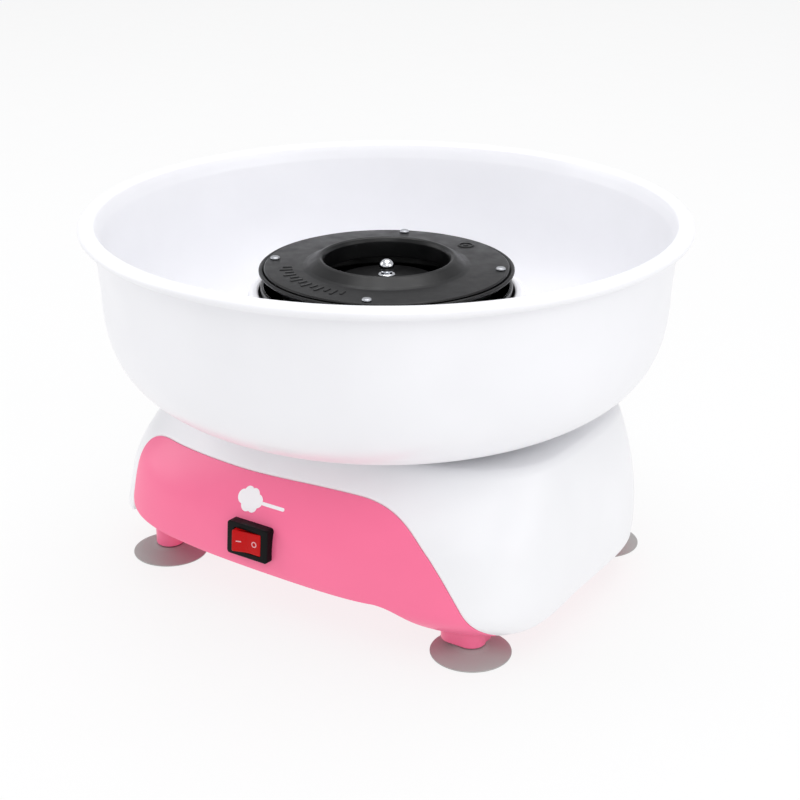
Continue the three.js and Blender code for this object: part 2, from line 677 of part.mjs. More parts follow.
function addHead() {
  place("spinner_dish", spinnerDish(), BLACK);
  place("spinner_top_plate", topPlate(), BLACK);
  rivetPlaces.forEach(([x, y], i) => place("head_rivet_" + (i + 1), headRivet(), STEEL, x, y));
  place("head_knob", headKnob(), CHROME);
}

addBase();
addSwitch();
addHeater();
addMotor();
addHead();
place("bowl", bowl(), WHITE);
place("bowl_gasket", bowlGasket(), RUBBER);

export default machine;
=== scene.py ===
import json
import math

import bmesh
import bpy
import numpy as np
from mathutils import Matrix, Vector


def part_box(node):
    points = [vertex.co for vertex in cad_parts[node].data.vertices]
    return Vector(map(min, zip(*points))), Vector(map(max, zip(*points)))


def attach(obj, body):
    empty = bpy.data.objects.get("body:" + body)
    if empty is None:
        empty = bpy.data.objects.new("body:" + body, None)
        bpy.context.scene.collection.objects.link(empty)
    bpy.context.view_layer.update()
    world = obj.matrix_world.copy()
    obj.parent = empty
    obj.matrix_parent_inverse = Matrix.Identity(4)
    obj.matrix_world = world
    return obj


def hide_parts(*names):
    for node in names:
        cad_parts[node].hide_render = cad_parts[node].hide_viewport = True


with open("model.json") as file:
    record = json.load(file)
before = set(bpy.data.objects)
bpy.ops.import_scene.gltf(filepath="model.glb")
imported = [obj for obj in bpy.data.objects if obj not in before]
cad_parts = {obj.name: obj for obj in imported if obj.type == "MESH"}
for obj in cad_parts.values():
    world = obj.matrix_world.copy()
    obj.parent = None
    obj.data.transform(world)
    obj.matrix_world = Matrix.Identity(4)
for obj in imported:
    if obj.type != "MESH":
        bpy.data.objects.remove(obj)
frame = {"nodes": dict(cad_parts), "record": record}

# Lengths below are in millimetres in the CAD frame; new_piece() turns them into metres.
MM = 0.001
TAU = 2 * math.pi
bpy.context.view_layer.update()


# ---------------------------------------------------------------- sizes taken from the frame
def span(node):
    """Lowest and highest corner of a CAD node, in millimetres."""
    low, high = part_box(node)
    return low / MM, high / MM


housing_low, housing_high = span("upper_housing")
bowl_low, bowl_high = span("bowl")
cup_low, cup_high = span("suction_cup_front_right")

DECK_Z = housing_high.z
SKIRT_Z = housing_low.z
HALF_WIDTH = housing_high.x
CENTRE_Y = -8.9
HALF_DEPTH = housing_high.y - CENTRE_Y
WIDEST_Z = 31.0
WALL = 2.6
PANEL_T = 1.8
GAP = 0.3
RIM_R = bowl_high.x
RIM_TOP = bowl_high.z
BOWL_FLOOR = bowl_low.z
FOOT_X, FOOT_Y = (cup_low.x + cup_high.x) / 2, -(cup_low.y + cup_high.y) / 2


# ---------------------------------------------------------------- geometry kept as plain arrays
class Geo:
    """Vertices in millimetres and faces as index tuples."""

    def __init__(self, verts, faces):
        self.verts = np.asarray(verts, float).reshape(-1, 3)
        self.faces = [tuple(int(i) for i in f) for f in faces]

    def placed(self, matrix):
        m = np.array(matrix, float)
        return Geo(self.verts @ m[:3, :3].T + m[:3, 3], self.faces)

    def moved(self, x=0.0, y=0.0, z=0.0):
        return Geo(self.verts + np.array([x, y, z]), self.faces)

    def turned(self, degrees, axis="Z"):
        return self.placed(Matrix.Rotation(math.radians(degrees), 4, axis))


def joined(*parts):
    verts, faces, base = [], [], 0
    for part in parts:
        verts.append(part.verts)
        faces += [tuple(i + base for i in f) for f in part.faces]
        base += len(part.verts)
    return Geo(np.vstack(verts), faces)


def to_mesh(name, geo, scale=1.0):
    mesh = bpy.data.meshes.new(name)
    mesh.from_pydata((geo.verts * scale).tolist(), [], geo.faces)
    bm = bmesh.new()
    bm.from_mesh(mesh)
    bmesh.ops.recalc_face_normals(bm, faces=bm.faces)
    bm.to_mesh(mesh)
    bm.free()
    return mesh


def boolean(base, tools, operation):
    """base with every tool added to it or cut from it."""
    made = [bpy.data.objects.new("tmp", to_mesh("tmp", g)) for g in [base, *tools]]
    for o in made:
        bpy.context.scene.collection.objects.link(o)
    for tool in made[1:]:
        modifier = made[0].modifiers.new("tmp", "BOOLEAN")
        modifier.operation, modifier.solver, modifier.object = operation, "MANIFOLD", tool
    graph = bpy.context.evaluated_depsgraph_get()
    mesh = bpy.data.meshes.new_from_object(made[0].evaluated_get(graph))
    result = Geo([tuple(v.co) for v in mesh.vertices], [tuple(p.vertices) for p in mesh.polygons])
    for o in made:
        bpy.data.meshes.remove(o.data)
    bpy.data.meshes.remove(mesh)
    return result


def union(base, *tools):
    return boolean(base, tools, "UNION")


def cut(base, *tools):
    return boolean(base, tools, "DIFFERENCE")


def rounded(corners, closed=True):
    """An outline of (u, v, radius) corners, each rounded to its radius."""
    out = []
    for i, (u, v, r) in enumerate(corners):
        p = Vector((u, v))
        if r <= 0 or (not closed and i in (0, len(corners) - 1)):
            out.append(p)
            continue
        a = Vector(corners[i - 1][:2]) - p
        b = Vector(corners[(i + 1) % len(corners)][:2]) - p
        angle = a.angle(b)
        if math.pi - angle < 0.02:
            out.append(p)
            continue
        reach = min(r / math.tan(angle / 2), a.length * 0.49, b.length * 0.49)
        radius = reach * math.tan(angle / 2)
        middle = p + (a.normalized() + b.normalized()).normalized() * (radius / math.sin(angle / 2))
        start, end = p + a.normalized() * reach - middle, p + b.normalized() * reach - middle
        first = math.atan2(start.y, start.x)
        swing = math.remainder(math.atan2(end.y, end.x) - first, TAU)
        steps = max(2, math.ceil(abs(swing) / math.radians(16)))
        for k in range(steps + 1):
            t = first + swing * k / steps
            out.append(middle + radius * Vector((math.cos(t), math.sin(t))))
    return [(p.x, p.y) for p in out]


def bezier(a, b, c, d, steps):
    points = []
    for k in range(steps + 1):
        t = k / steps
        weights = ((1 - t) ** 3, 3 * t * (1 - t) ** 2, 3 * t * t * (1 - t), t**3)
        points.append(tuple(sum(w * p[i] for w, p in zip(weights, (a, b, c, d))) for i in (0, 1)))
    return points


def quadratic(a, b, c, steps):
    third = [tuple((p[i] + 2 * b[i]) / 3 for i in (0, 1)) for p in (a, c)]
    return bezier(a, third[0], third[1], c, steps)


def lathe(profile, segments=96):
    """A solid turned about Z from (radius, z) points, with poles where its outline ends on the axis."""
    verts, rings = [], []
    for r, z in profile:
        if r < 1e-6:
            rings.append([len(verts)] * segments)
            verts.append((0, 0, z))
            continue
        rings.append(list(range(len(verts), len(verts) + segments)))
        turns = [TAU * k / segments for k in range(segments)]
        verts += [(r * math.cos(t), r * math.sin(t), z) for t in turns]
    on_axis = profile[0][0] < 1e-6 and profile[-1][0] < 1e-6
    faces = []
    for i in range(len(profile) - (1 if on_axis else 0)):
        low, high = rings[i], rings[(i + 1) % len(profile)]
        for k in range(segments):
            face = [low[k], low[(k + 1) % segments], high[(k + 1) % segments], high[k]]
            face = [v for n, v in enumerate(face) if v != face[n - 1]]
            if len(face) > 2:
                faces.append(face)
    return Geo(verts, faces)


def turned_solid(corners, segments=96):
    """A lathe solid whose (radius, z, edge radius) corners are rounded."""
    on_axis = corners[0][0] < 1e-6 and corners[-1][0] < 1e-6
    return lathe(rounded(corners, closed=not on_axis), segments)


def offset_outline(outline, distance):
    """The closed counter-clockwise outline moved inwards by a small distance."""
    pts = np.array(outline, float)
    before, after = pts - np.roll(pts, 1, 0), np.roll(pts, -1, 0) - pts

    def unit_normals(edges):
        lengths = np.maximum(np.linalg.norm(edges, axis=1), 1e-9)[:, None]
        return np.stack([-edges[:, 1], edges[:, 0]], 1) / lengths

    n0, n1 = unit_normals(before), unit_normals(after)
    mitre = n0 + n1
    mitre /= np.maximum((mitre * n0).sum(1), 0.35)[:, None]
    return pts + mitre * distance


def prism(outline, z0, z1, edge=0.4, steps=3):
    """A counter-clockwise outline pushed along Z, its top and bottom edges rounded."""
    levels = []
    for k in range(steps + 1):
        t = math.pi / 2 * k / steps
        levels.append((z0 + edge * (1 - math.sin(t)), edge * (1 - math.cos(t))))
    levels = levels[::-1] + [(z0 + z1 - z, inset) for z, inset in levels]
    verts, faces, n = [], [], len(outline)
    for z, inset in levels:
        verts += [(x, y, z) for x, y in offset_outline(outline, inset)]
    for level in range(len(levels) - 1):
        base = level * n
        faces += [(base + k, base + (k + 1) % n, base + n + (k + 1) % n, base + n + k) for k in range(n)]
    faces.append(tuple(range(n))[::-1])
    faces.append(tuple(range(len(verts) - n, len(verts))))
    return Geo(verts, faces)


def rectangle(width, height, radius, x=0.0, y=0.0):
    w, h = width / 2, height / 2
    corners = [(x - w, y - h, radius), (x + w, y - h, radius), (x + w, y + h, radius), (x - w, y + h, radius)]
    return rounded(corners)


def circle(r, count=32, x=0.0, y=0.0):
    return [(x + r * math.cos(TAU * k / count), y + r * math.sin(TAU * k / count)) for k in range(count)]


def sector(r0, r1, centre, width, corner=0.4, count=10):
    """Outline of a ring sector about the origin, angles in degrees."""
    a, b = math.radians(centre - width / 2), math.radians(centre + width / 2)
    arc = [a + (b - a) * k / count for k in range(count + 1)]
    outer = [(r1 * math.cos(t), r1 * math.sin(t), 0) for t in arc]
    inner = [(r0 * math.cos(t), r0 * math.sin(t), 0) for t in reversed(arc)]
    for run in (outer, inner):
        run[0], run[-1] = (*run[0][:2], corner), (*run[-1][:2], corner)
    return rounded(outer + inner)


def polar(r, degrees):
    return r * math.cos(math.radians(degrees)), r * math.sin(math.radians(degrees))


def new_piece(name, geo, body, slot, material, *stands_for, smooth=38):
    """Makes a piece from millimetre geometry, rides it on its body and hides the CAD nodes it stands for."""
    mesh = to_mesh(name, geo, MM)
    mesh.shade_smooth()
    mesh.set_sharp_from_angle(angle=math.radians(smooth))
    mesh.materials.append(material)
    made = bpy.data.objects.new(name, mesh)
    bpy.context.scene.collection.objects.link(made)
    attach(made, body)
    if stands_for:
        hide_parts(*stands_for)
    return made


# ---------------------------------------------------------------- materials
def linear(r, g, b):
    """Linear colour of an sRGB colour given in 0-255."""
    def one(c):
        c /= 255
        return c / 12.92 if c <= 0.04045 else ((c + 0.055) / 1.055) ** 2.4
    return (one(r), one(g), one(b), 1.0)


class Surface:
    """A procedural material: noise drives its colour, roughness and bump."""

    def __init__(self, name):
        self.material = bpy.data.materials.new(name)
        self.material.use_nodes = True
        self.tree = self.material.node_tree
        self.shader = self.tree.nodes["Principled BSDF"]
        self.place = self.tree.nodes.new("ShaderNodeTexCoord")
        self.bumps = None

    def set(self, **values):
        for socket, value in values.items():
            self.shader.inputs[socket.replace("_", " ")].default_value = value
        return self

    def noise(self, size_mm, detail=3.0, rough=0.5, stretch=(1, 1, 1)):
        """Noise from 0 to 1 whose features are about size_mm across."""
        mapping = self.tree.nodes.new("ShaderNodeMapping")
        mapping.inputs["Scale"].default_value = stretch
        node = self.tree.nodes.new("ShaderNodeTexNoise")
        node.inputs["Scale"].default_value = 1000 / size_mm
        node.inputs["Detail"].default_value = detail
        node.inputs["Roughness"].default_value = rough
        self.tree.links.new(self.place.outputs["Object"], mapping.inputs["Vector"])
        self.tree.links.new(mapping.outputs["Vector"], node.inputs["Vector"])
        return node.outputs["Fac"]

    def spread(self, value, low, high, source=(0.3, 0.7)):
        node = self.tree.nodes.new("ShaderNodeMapRange")
        node.inputs["From Min"].default_value, node.inputs["From Max"].default_value = source
        node.inputs["To Min"].default_value, node.inputs["To Max"].default_value = low, high
        self.tree.links.new(value, node.inputs["Value"])
        return node.outputs["Result"]

    def mixed(self, fac, a, b):
        node = self.tree.nodes.new("ShaderNodeMix")
        node.data_type = "RGBA"
        for socket, value in ((node.inputs[0], fac), (node.inputs[6], a), (node.inputs[7], b)):
            if isinstance(value, bpy.types.NodeSocket):
                self.tree.links.new(value, socket)
            else:
                socket.default_value = value
        return node.outputs[2]

    def colour(self, a, b, size_mm, detail=2.0):
        fac = self.spread(self.noise(size_mm, detail), 0, 1)
        self.tree.links.new(self.mixed(fac, a, b), self.shader.inputs["Base Color"])
        return self

    def roughness(self, low, high, size_mm, **options):
        value = self.spread(self.noise(size_mm, **options), low, high)
        self.tree.links.new(value, self.shader.inputs["Roughness"])
        return self

    def bump(self, size_mm, height_mm, detail=2.0, strength=1.0, **options):
        node = self.tree.nodes.new("ShaderNodeBump")
        node.inputs["Strength"].default_value = strength
        node.inputs["Distance"].default_value = height_mm * MM
        self.tree.links.new(self.noise(size_mm, detail, **options), node.inputs["Height"])
        if self.bumps:
            self.tree.links.new(self.bumps, node.inputs["Normal"])
        self.bumps = node.outputs["Normal"]
        self.tree.links.new(self.bumps, self.shader.inputs["Normal"])
        return self


def shade(colour, factor):
    return tuple(min(1.0, c * factor) for c in colour[:3]) + (1.0,)


def moulded(name, colour, low=0.2, high=0.3, sub=0.0, orange=0.02, grain=0.0):
    """Injection-moulded plastic: faint flow mottling, an uneven gloss and a trace of orange peel."""
    s = Surface(name).set(IOR=1.49)
    s.colour(shade(colour, 0.985), shade(colour, 1.01), 38)
    s.roughness(low, high, 14, detail=4.0)
    s.bump(9, orange, detail=1.0)
    if grain:
        s.bump(0.55, grain, detail=2.0)
    if sub:
        s.set(Subsurface_Weight=sub, Subsurface_Scale=0.004, Subsurface_Radius=(1.0, 0.8, 0.8))
    return s


WHITE = moulded("white_gloss_plastic", linear(243, 243, 246), 0.29, 0.37)
HOUSING_WHITE = moulded("white_housing_plastic", linear(243, 243, 245), 0.30, 0.38)
PINK = moulded("pink_gloss_plastic", linear(253, 116, 157), 0.29, 0.37)
RUBBER = moulded("grey_soft_rubber", linear(168, 167, 165), 0.42, 0.55, orange=0.01, grain=0.004)
BLACK = moulded("black_switch_plastic", linear(5, 5, 6), 0.32, 0.42, grain=0.004)
BLACK.set(Specular_IOR_Level=0.14)
RED = moulded("red_rocker_plastic", linear(190, 8, 12), 0.16, 0.24, orange=0.006)
RED.set(Specular_IOR_Level=0.16)
MARK = moulded("pale_printed_mark", linear(226, 170, 176), 0.35, 0.45, orange=0.001)
PRINT = moulded("white_printed_mark", linear(250, 248, 250), 0.3, 0.4, orange=0.001)
GASKET = moulded("grey_gasket_rubber", linear(120, 116, 118), 0.5, 0.65, orange=0.01, grain=0.004)
BOARD = moulded("green_circuit_board", linear(52, 112, 72), 0.35, 0.5, orange=0.004)
CERAMIC = moulded("off_white_ceramic", linear(226, 220, 206), 0.45, 0.6, orange=0.01, grain=0.01)
MAGNET = moulded("dark_magnet", linear(54, 54, 58), 0.5, 0.7, grain=0.01)

ENAMEL = Surface("black_baked_enamel").set(IOR=1.5)
ENAMEL.colour(linear(7, 7, 8), linear(11, 11, 12), 22)
ENAMEL.roughness(0.30, 0.42, 6, detail=5.0)
ENAMEL.set(Specular_IOR_Level=0.34)
ENAMEL.bump(1.1, 0.012, detail=3.0)

PAN_ENAMEL = Surface("black_gloss_enamel").set(IOR=1.5)
PAN_ENAMEL.colour(linear(8, 8, 9), linear(13, 13, 14), 18)
PAN_ENAMEL.roughness(0.14, 0.26, 8, detail=4.0)
PAN_ENAMEL.bump(2.0, 0.01)


def metal(name, colour, low, high, grain=0.004, stretch=(1, 1, 1)):
    s = Surface(name).set(Metallic=1.0)
    s.colour(shade(colour, 0.92), shade(colour, 1.05), 12)
    s.roughness(low, high, 4, detail=4.0, stretch=stretch)
    s.bump(1.5, grain, detail=3.0, stretch=stretch)
    return s


STEEL = metal("satin_steel", linear(190, 192, 196), 0.29, 0.42)
CHROME = metal("polished_chrome", linear(226, 228, 232), 0.04, 0.09, grain=0.0006)
BRASS = metal("satin_brass", linear(200, 168, 92), 0.28, 0.42)
COPPER = metal("copper_wire", linear(184, 110, 66), 0.3, 0.45, grain=0.03, stretch=(1, 1, 6))

SLOT_SURFACES = {
    "white_shell": WHITE, "pink_plastic": PINK, "grey_rubber": GASKET, "black_plastic": BLACK,
    "red_plastic": RED, "black_enamel": PAN_ENAMEL, "steel": STEEL, "chrome": CHROME, "brass": BRASS,
    "copper": COPPER, "ceramic": CERAMIC, "magnet": MAGNET, "circuit_board": BOARD,
}


def dress_cad_nodes():
    """Every CAD node gets the surface of its material slot, and shows it wherever it isn't replaced."""
    for part in frame["record"]["subparts"]:
        node = frame["nodes"][part["node"]]
        node.data.materials.clear()
        node.data.materials.append(SLOT_SURFACES[part["material_slot"]].material)
        node.data.shade_smooth()
        node.data.set_sharp_from_angle(angle=math.radians(40))


# ---------------------------------------------------------------- the housing's surface
def level(z):
    """Half width, front depth, back depth and front power of the housing at each height."""
    z = np.asarray(z, float)
    low = np.clip((WIDEST_Z - z) / (WIDEST_Z - SKIRT_Z), 0, None)
    high = np.clip((z - WIDEST_Z) / (DECK_Z - WIDEST_Z), 0, None)
    rise = (z - SKIRT_Z) / (DECK_Z - SKIRT_Z)
    a = HALF_WIDTH - 1 * low**2.4 - 11.7 * high**2.06
    front = HALF_DEPTH - 16 * low**2.4 - 28.5 * high**2.26
    back = HALF_DEPTH - 4 * low**2.4 - 1.5 * high**2.26
    return a, front, back, 4.35 - 2.2 * rise + 0.45 * rise**2 + 0.3 * np.exp(-(((z - 57) / 12) ** 2))


BACK_POWER = 4.35
SHOULDER_R = 3.0  # rounding between the walls and the deck


def wall_point(phi, z, inset=0.0):
    """Point of the housing's wall in direction phi at height z."""
    a, front, back, power = level(z)
    c, s = np.cos(phi), np.sin(phi)
    depth = np.where(s < 0, front, back) - inset
    p = np.where(s < 0, power, BACK_POWER)
    r = ((np.abs(c) / (a - inset)) ** p + (np.abs(s) / depth) ** p) ** (-1 / p)
    return np.stack([r * c, CENTRE_Y + r * s, z + 0 * r], -1)


def front_y(x, z):
    """Y of the front wall at the given X and height."""
    half_width, front, _, power = level(z)
    return CENTRE_Y - front * (1 - np.abs(x / half_width) ** power) ** (1 / power)


def even_directions(count):
    """Directions that cut the housing's outline into equal lengths."""
    fine = np.linspace(0, TAU, 7201)
    pts = wall_point(fine, np.full(fine.shape, 45.0))[:, :2]
    run = np.concatenate([[0], np.cumsum(np.linalg.norm(np.diff(pts, axis=0), axis=1))])
    return np.interp(np.arange(count) / count * run[-1], run, fine)


def housing_grid(columns, rows, lowest=SKIRT_Z - 1.5, deck=True):
    """The wall from its lowest edge, over the shoulder, and in over the deck."""
    phi = even_directions(columns)
    rings = [wall_point(phi, np.full(columns, z)) for z in np.linspace(lowest, DECK_Z - SHOULDER_R, rows)]
    if deck:
        for k in range(1, 9):
            t = math.pi / 2 * k / 8
            z = DECK_Z - SHOULDER_R * (1 - math.sin(t))
            rings.append(wall_point(phi, np.full(columns, min(z, DECK_Z)), SHOULDER_R * (1 - math.cos(t))))
        edge = rings[-1]
        centre_phi = np.arctan2(edge[:, 1], edge[:, 0])
        inner = np.stack([60 * np.cos(centre_phi), 60 * np.sin(centre_phi), np.full(columns, DECK_Z)], -1)
        rings += [edge + (inner - edge) * k / 22 for k in range(1, 23)]
    return np.array(rings)


def surface_frame(points):
    """Tangents and outward normal of a grid that closes on itself along its rows."""
    across = (np.roll(points, -1, 1) - np.roll(points, 1, 1)) / 2
    along = np.gradient(points, axis=0)
    normal = np.cross(across, along)
    normal /= np.maximum(np.linalg.norm(normal, axis=2), 1e-9)[..., None]
    return across, along, normal


def surface_gradient(field, across, along):
    """Gradient of a field along the surface."""
    fu = (np.roll(field, -1, 1) - np.roll(field, 1, 1)) / 2
    fv = np.gradient(field, axis=0)
    e, f, g = (across**2).sum(2), (across * along).sum(2), (along**2).sum(2)
    det = np.maximum(e * g - f * f, 1e-12)
    u, v = (g * fu - f * fv) / det, (e * fv - f * fu) / det
    return across * u[..., None] + along * v[..., None]


def distance_to_outline(u, v, outline):
    """Signed distance to a closed outline, positive outside it."""
    pts = np.array(outline, float)
    a, b = pts, np.roll(pts, -1, 0)
    flat = np.stack([np.ravel(u), np.ravel(v)], 1)
    best = np.full(len(flat), 1e9)
    inside = np.zeros(len(flat), bool)
    for p, q in zip(a, b):
        d = q - p
        if not d.any():
            continue
        t = np.clip(((flat - p) @ d) / (d @ d), 0, 1)
        best = np.minimum(best, np.linalg.norm(flat - p - t[:, None] * d, axis=1))
        crosses = (p[1] > flat[:, 1]) != (q[1] > flat[:, 1])
        if p[1] != q[1]:
            inside ^= crosses & (flat[:, 0] < (q[0] - p[0]) * (flat[:, 1] - p[1]) / (q[1] - p[1]) + p[0])
    return np.where(inside, -best, best).reshape(np.shape(u))


FAR_OFF = 100  # a field is left as it is this far from its outline
LEAST_SLOPE = 0.25  # and is never taken to rise more slowly than this along the surface


def trimmed_shell(points, fields, thickness, edge, wraps=True, steps=4):
    """A closed shell of a grid surface where every field is positive, with rounded edges.

    Each field is a signed distance seen along some direction; it is first turned into a distance along
    the surface, so that the rounded edge has one width everywhere."""
    across, along, normal = surface_frame(points)
    field = np.full(points.shape[:2], 1e9)
    for one in fields:
        slope = np.linalg.norm(surface_gradient(one, across, along), axis=2)
        field = np.minimum(field, np.where(one > FAR_OFF, one, one / np.maximum(slope, LEAST_SLOPE)))
    outward = -surface_gradient(np.clip(field, -20, 20), across, along)
    outward /= np.maximum(np.linalg.norm(outward, axis=2), 1e-6)[..., None]
    field = field - edge
    rows, columns = field.shape
    verts, faces, at_grid, at_cut, strips = [], [], {}, {}, {}
    normals = []

    def add(p, n):
        verts.append(p)
        normals.append(n)
        return len(verts) - 1

    def grid_vertex(i, j):
        if (i, j) not in at_grid:
            at_grid[i, j] = add(points[i, j], normal[i, j])
        return at_grid[i, j]

    def cut_vertex(p, q):
        key = (p, q) if p < q else (q, p)
        if key not in at_cut:
            (i0, j0), (i1, j1) = key
            f0, f1 = field[i0, j0], field[i1, j1]
            t = min(max(f0 / (f0 - f1), 0.02), 0.98)
            def between(grid):
                return grid[i0, j0] * (1 - t) + grid[i1, j1] * t
            n = between(normal)
            n = n / np.linalg.norm(n)
            g = between(outward)
            g = g - n * (g @ n)
            index = add(between(points), n)
            at_cut[key] = index
            strips[index] = g / max(np.linalg.norm(g), 1e-6)
        return at_cut[key]

    rims = []
    for i in range(rows - 1):
        for j in range(columns if wraps else columns - 1):
            corners = [(i, j), (i, (j + 1) % columns), (i + 1, (j + 1) % columns), (i + 1, j)]
            kept = [field[c] > 0 for c in corners]
            if all(kept):
                faces.append([grid_vertex(*c) for c in corners])
                continue
            if not any(kept):
                continue
            face, leaving = [], None
            for k in range(4):
                c, d = corners[k], corners[(k + 1) % 4]
                if kept[k]:
                    face.append(grid_vertex(*c))
                if kept[k] != kept[(k + 1) % 4]:
                    index = cut_vertex(c, d)
                    face.append(index)
                    if kept[k]:
                        leaving = index
                    elif leaving is not None:
                        rims.append((leaving, index))
                        leaving = None
                    else:
                        first = index
            if leaving is not None:
                rims.append((leaving, first))
            faces.append(face)
    count = len(verts)
    inner = {}
    outer_faces = list(faces)
    for index in range(count):
        inner[index] = len(verts)
        verts.append(verts[index] - normals[index] * thickness)
    faces += [[inner[v] for v in reversed(f)] for f in outer_faces]
    walls = {}
    for index, g in strips.items():
        p, n = verts[index], normals[index]
        chain = [index]
        for k in range(1, steps + 1):
            t = math.pi / 2 * k / steps
            chain.append(len(verts))
            verts.append(p + g * edge * math.sin(t) - n * edge * (1 - math.cos(t)))
        chain.append(len(verts))
        verts.append(p + g * edge - n * thickness)
        chain.append(inner[index])
        walls[index] = chain
    for a, b in rims:
        for k in range(len(walls[a]) - 1):
            faces.append([walls[b][k], walls[a][k], walls[a][k + 1], walls[b][k + 1]])
    return Geo(np.array(verts), faces)


def panel_outline(grow, drop=0.0):
    """The front panel seen from the front: a straight left side, and on the right a long S into the foot."""
    g, low = grow, -grow - drop
    points = bezier((-86, 29.4 + low), (-74, 27.2 + low), (-60, 27.4 + low), (-50, 26.8 + low), 10)
    points += bezier(points[-1], (-30, 25.6 + low), (30, 23.6 + low), (56, 27.2 + low), 24)[1:]
    points += bezier(points[-1], (67, 27.4 + low), (71, 21.8 + low), (80, 18.3 + low), 14)[1:]
    points += quadratic(points[-1], (93, 13 + low), (106 + g, 12.6 + low), 12)[1:]
    points += bezier(points[-1], (98 + g, 25), (91.5 + g, 41 + g * 0.4), (79.7 + g, 53.2 + g * 0.6), 24)[1:]
    points += bezier(points[-1], (70.5 + g * 0.7, 61.5 + g), (60 + g * 0.5, 71.2 + g), (38, 71.2 + g), 22)[1:]
    points += bezier(points[-1], (16, 71.4 + g), (-6, 69.2 + g), (-28, 69.2 + g), 16)[1:]
    points += bezier(points[-1], (-48, 69.2 + g), (-62, 69.2 + g), (-78, 68.6 + g), 14)[1:]
    points += bezier(points[-1], (-89 - g * 0.7, 68 + g * 0.7), (-97.3 - g, 64), (-97.2 - g, 55), 16)[1:]
    points.append((-96.8 - g, 37))
    points += quadratic(points[-1], (-96.6 - g, 31.2 + low), points[0], 10)[1:-1]
    return points


PANEL_BACK_Y = -58.0
SWITCH_X, SWITCH_Z = -11.2, 41.7
SEAM = 0.1  # the housing's edge comes this close to the panel's outline
SEAT_HOLE_R = 63.5  # hole in the deck, inside the seat ring
REAR_Y = 40.0  # openings in the back wall lie behind this plane
GLAND_R, GLAND_X, GLAND_Z = 5.3, -48, 36
VENT_COUNT, VENT_PITCH, VENT_WIDTH, VENT_LENGTH, VENT_Z = 6, 9, 3, 16, 62


LEGS = ((-1, -1, "front_left"), (1, -1, "front_right"), (1, 1, "rear_right"), (-1, 1, "rear_left"))
LEG_R, LEG_Z = 7.0, 4.9
TRAY_Z, TRAY_T = 24.0, 2.5
TRAY_SETBACK = 4.5  # extra space between the tray and the front panel


def leg_solid(sx, sy, extra=0.0):
    """A leg: a round post with a wedge behind it, made larger all round where clearance is wanted."""
    top, r = TRAY_Z + 1, LEG_R + extra
    post = turned_solid([(0, LEG_Z, 0), (r, LEG_Z, 0.9), (r, top, 0), (0, top, 0)], 64)
    side = [(0, LEG_Z, 0), (r, LEG_Z, 0), (24 + extra, 19, 1.5), (24 + extra, top, 0), (0, top, 0)]
    width = r * 0.92
    wedge = prism(rounded(side), -width, width, 0.9)
    wedge = wedge.turned(90, "X").turned(90 if sy < 0 else -90)
    pieces = [wedge]
    if sx > 0 and sy < 0:
        pieces.append(post.moved(-8))
        pieces.append(prism(rectangle(8, 2 * r - 0.02, 0.0), LEG_Z, top, 0.9).moved(-4))
    return union(post, *pieces).moved(sx * FOOT_X, sy * FOOT_Y)


def without_legs(shell):
    """The shell with room cut for the four legs."""
    cleared = cut(shell, *[leg_solid(sx, sy, GAP) for sx, sy, _ in LEGS])
    assert len(cleared.faces) > len(shell.faces) // 2
    return cleared


def build_housing():
    grid = housing_grid(440, 84)
    x, y, z = grid[..., 0], grid[..., 1], grid[..., 2]
    left_edge = [(-120, 0), (-120, 30), (-74, 27.5), (-40, 18), (100, 17.5), (100, 0)]
    right_edge = [(-120, 0), (-120, SKIRT_Z), (-58, SKIRT_Z), (-20, 17.5), (100, 17.5), (100, 0)]
    fields = [
        np.maximum(distance_to_outline(x, z, panel_outline(-SEAM)), y - PANEL_BACK_Y),
        np.maximum(distance_to_outline(x, z, panel_outline(-SEAM, 20.0)), y - PANEL_BACK_Y),
        np.where(x < 0, distance_to_outline(y, z, left_edge), distance_to_outline(y, z, right_edge)),
        z - SKIRT_Z,
        np.hypot(x, y) - SEAT_HOLE_R,
        np.maximum(distance_to_outline(x, z, circle(GLAND_R, 40, GLAND_X, GLAND_Z)), REAR_Y - y),
    ]
    for k in range(VENT_COUNT):
        centre_x = (k - (VENT_COUNT - 1) / 2) * VENT_PITCH
        slot_outline = rectangle(VENT_WIDTH, VENT_LENGTH, 1.4, centre_x, VENT_Z)
        fields.append(np.maximum(distance_to_outline(x, z, slot_outline), REAR_Y - y))
    shell = without_legs(trimmed_shell(grid, fields, WALL, 1.1))
    return new_piece("housing_shell", shell, "base", "white_shell", HOUSING_WHITE.material, "upper_housing")


def build_panel():
    grid = housing_grid(520, 96, deck=False)
    x, y, z = grid[..., 0], grid[..., 1], grid[..., 2]
    inside = -distance_to_outline(x, z, panel_outline(-SEAM))
    opening = distance_to_outline(x, z, rectangle(21.2, 15.2, 1.0, SWITCH_X, SWITCH_Z))
    fields = [np.minimum(inside, PANEL_BACK_Y - y), opening, z - SKIRT_Z]
    shell = without_legs(trimmed_shell(grid, fields, PANEL_T, 0.35))
    return new_piece("front_panel_moulding", shell, "base", "pink_plastic", PINK.material, "front_panel")


def build_seat():
    """The raised ring on the deck that the bowl stands on."""
    ring = turned_solid([(64.5, 83.6, 0), (70, 83.6, 0), (70, 79.5, 0.4), (74, 79.5, 0.6), (79, 82, 0.8),
                         (79, 84.2, 0.7), (64.5, 84.2, 0.4)], 144)
    return new_piece("bowl_seat_ring", ring, "base", "white_shell", HOUSING_WHITE.material)


